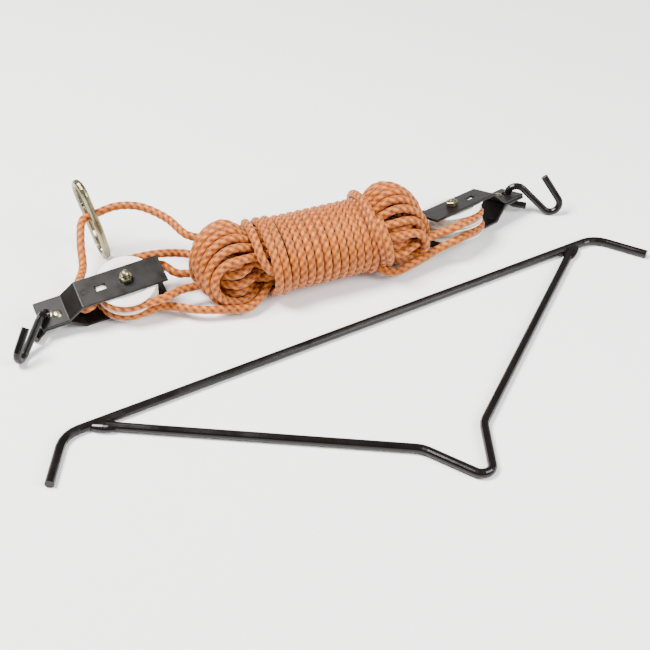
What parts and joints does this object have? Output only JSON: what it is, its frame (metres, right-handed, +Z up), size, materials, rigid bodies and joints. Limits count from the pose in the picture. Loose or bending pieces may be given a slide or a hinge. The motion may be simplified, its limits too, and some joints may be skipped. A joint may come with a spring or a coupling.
{
  "type": "gambrel hoist kit",
  "caption": "Game hoist kit: a welded steel-rod gambrel beside a rope block and tackle with S-hooks, a snap link and its braided rope wrapped in a hank.",
  "frame": {"origin": "centre of the kit's footprint on the surface it lies on, measured without the rope", "axes": "+X along the gambrel's crossbar, +Y from the gambrel's notch towards the tackle, +Z up"},
  "size_m": [0.6138, 0.4605, 0.0794],
  "materials": {
    "black_enamel": "black enamel on steel, semi-gloss",
    "zinc_plate": "zinc plate with a faint yellow tint",
    "nylon": "natural nylon, satin",
    "rope": "braided polypropylene, orange"
  },
  "bodies": {
    "tackle": {"rope_hank": "rope", "rope_left_upper": "rope", "rope_left_lower": "rope", "rope_right_upper": "rope", "rope_right_lower": "rope", "rope_dead_end_strand": "rope", "rope_becket_loop": "rope", "left_becket_pin": "black_enamel", "left_plate_upper": "black_enamel", "left_plate_lower": "black_enamel", "left_axle_bolt": "zinc_plate", "left_axle_nut": "zinc_plate", "left_axle_sleeve": "zinc_plate", "left_sheave_washer": "zinc_plate", "left_tongue_rivet": "zinc_plate", "right_plate_upper": "black_enamel", "right_plate_lower": "black_enamel", "right_axle_bolt": "zinc_plate", "right_axle_nut": "zinc_plate", "right_axle_sleeve": "zinc_plate", "right_sheave_washer": "zinc_plate", "right_tongue_rivet": "zinc_plate"},
    "left_upper_wheel": {"left_sheave_upper": "nylon"},
    "left_lower_wheel": {"left_sheave_lower": "nylon"},
    "right_upper_wheel": {"right_sheave_upper": "nylon"},
    "right_lower_wheel": {"right_sheave_lower": "nylon"},
    "left_hook": {"left_s_hook": "black_enamel"},
    "right_hook": {"right_s_hook": "black_enamel"},
    "link": {"snap_link_body": "zinc_plate", "gate_hinge_pin": "zinc_plate"},
    "gate": {"snap_link_gate": "zinc_plate", "gate_latch_pin": "zinc_plate", "gate_spring": "zinc_plate"},
    "gambrel": {"gambrel_crossbar": "black_enamel", "gambrel_v_rod": "black_enamel", "weld_bead_left": "black_enamel", "weld_bead_right": "black_enamel"}
  },
  "joints": [
    {"name": "left_upper_spin", "type": "hinge", "parent": "tackle", "child": "left_upper_wheel", "pos_m": [-0.1627, 0.1098, 0.0227], "axis": [-0.0996, -0.2845, 0.9535], "continuous": true},
    {"name": "left_lower_spin", "type": "hinge", "parent": "tackle", "child": "left_lower_wheel", "pos_m": [-0.1627, 0.1098, 0.0227], "axis": [-0.0996, -0.2845, 0.9535], "continuous": true},
    {"name": "right_upper_spin", "type": "hinge", "parent": "tackle", "child": "right_upper_wheel", "pos_m": [0.1588, 0.0538, 0.0212], "axis": [-0.0049, 0.279, 0.9603], "continuous": true},
    {"name": "right_lower_spin", "type": "hinge", "parent": "tackle", "child": "right_lower_wheel", "pos_m": [0.1588, 0.0538, 0.0212], "axis": [-0.0049, 0.279, 0.9603], "continuous": true},
    {"name": "left_hook_swing", "type": "hinge", "parent": "tackle", "child": "left_hook", "pos_m": [-0.24473, 0.11077, 0.01443], "axis": [0.6679, -0.7294, -0.1479], "range_deg": [-75, 75]},
    {"name": "right_hook_swing", "type": "hinge", "parent": "tackle", "child": "right_hook", "pos_m": [0.24077, 0.06156, 0.01937], "axis": [0.5477, 0.8042, -0.2309], "range_deg": [-75, 75]},
    {"name": "link_swing", "type": "hinge", "parent": "tackle", "child": "link", "pos_m": [-0.15801, 0.20234, 0.04609], "axis": [0.9902, 0.067, 0.1225], "range_deg": [-60, 60]},
    {"name": "gate_open", "type": "hinge", "parent": "link", "child": "gate", "pos_m": [-0.15445, 0.20775, 0.01433], "axis": [0.9902, 0.067, 0.1225], "range_deg": [0, 17], "stiffness_Nm_per_rad": 0.06, "springref_deg": -22.92},
    {"name": "gambrel_lift", "type": "slide", "parent": "tackle", "child": "gambrel", "axis": [0, 0, 1], "range_m": [0, 0.15]}
  ]
}
